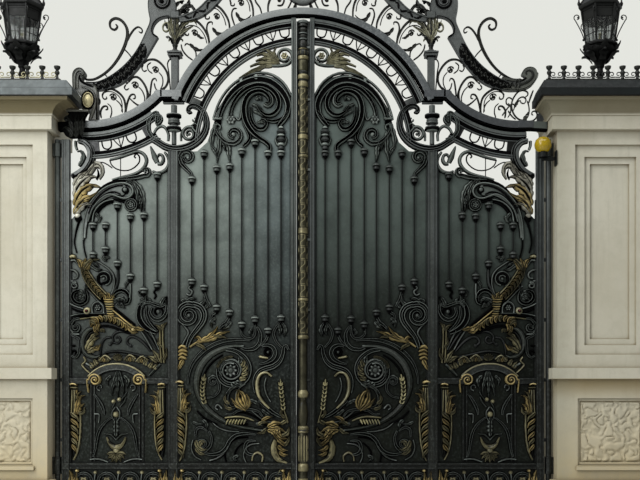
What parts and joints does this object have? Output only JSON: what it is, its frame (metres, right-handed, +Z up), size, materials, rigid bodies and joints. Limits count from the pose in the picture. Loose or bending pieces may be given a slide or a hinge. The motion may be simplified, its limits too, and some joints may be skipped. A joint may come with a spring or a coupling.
{
  "type": "wrought iron driveway gate",
  "caption": "Tall double-leaf wrought iron driveway gate with scrolled panels, gilded leaves and an arched overthrow between panelled stone piers with lanterns.",
  "frame": {"origin": "on the ground, at the middle of the bounding box in plan: midway between the outer faces of the two pier caps and on the piers' centre line", "axes": "+X along the gate from the left pier to the right pier as seen from the road, +Y from the road into the grounds (the way the leaves open), +Z up"},
  "size_m": [7.22, 1.16, 6.31],
  "materials": {
    "stone": "fine-tooled warm limestone",
    "lead_cap": "dull lead sheet",
    "dark_iron": "satin black paint",
    "frame_iron": "satin grey-black paint",
    "backing_sheet": "satin grey-green paint",
    "gilded_iron": "dark iron with worn gilding",
    "lantern_glass": "clear, dusty",
    "amber_lens": "gloss amber"
  },
  "bodies": {
    "piers": {"left_pedestal": "stone", "right_pedestal": "stone", "left_shaft": "stone", "right_shaft": "stone", "left_cornice": "stone", "right_cornice": "stone", "left_cap": "lead_cap", "right_cap": "lead_cap", "left_cresting": "dark_iron", "right_cresting": "dark_iron", "left_lantern": "dark_iron", "right_lantern": "dark_iron", "left_collars": "dark_iron", "right_collars": "dark_iron", "left_console": "dark_iron", "right_console": "dark_iron", "left_infill_scrolls": "dark_iron", "right_infill_scrolls": "dark_iron", "left_overthrow_post": "dark_iron", "right_overthrow_post": "dark_iron", "beacon_base": "dark_iron", "left_lantern_glass": "lantern_glass", "right_lantern_glass": "lantern_glass", "left_shoulder_band": "frame_iron", "right_shoulder_band": "frame_iron", "left_raking_band": "frame_iron", "right_raking_band": "frame_iron", "left_upper_band": "frame_iron", "right_upper_band": "frame_iron", "arch_band": "frame_iron", "crest_shield": "frame_iron", "beacon_lens": "amber_lens"},
    "left_leaf": {"left_heel_stile": "frame_iron", "left_mid_stile": "frame_iron", "left_meeting_stile": "frame_iron", "left_bottom_rail": "frame_iron", "left_cross_rails": "frame_iron", "left_side_head": "frame_iron", "left_arch_head": "frame_iron", "left_sheet": "backing_sheet", "left_bars": "dark_iron", "left_scrolls": "gilded_iron"},
    "right_leaf": {"right_heel_stile": "frame_iron", "right_mid_stile": "frame_iron", "right_meeting_stile": "frame_iron", "right_bottom_rail": "frame_iron", "right_cross_rails": "frame_iron", "right_side_head": "frame_iron", "right_arch_head": "frame_iron", "right_sheet": "backing_sheet", "right_bars": "dark_iron", "right_scrolls": "gilded_iron", "centre_bar": "gilded_iron"}
  },
  "joints": [
    {"name": "left_leaf_hinge", "type": "hinge", "parent": "piers", "child": "left_leaf", "pos_m": [-2.605, -0.2, 0], "axis": [0, 0, 1], "range_deg": [0, 90]},
    {"name": "right_leaf_hinge", "type": "hinge", "parent": "piers", "child": "right_leaf", "pos_m": [2.305, -0.2, 0], "axis": [0, 0, -1], "range_deg": [0, 90]}
  ]
}
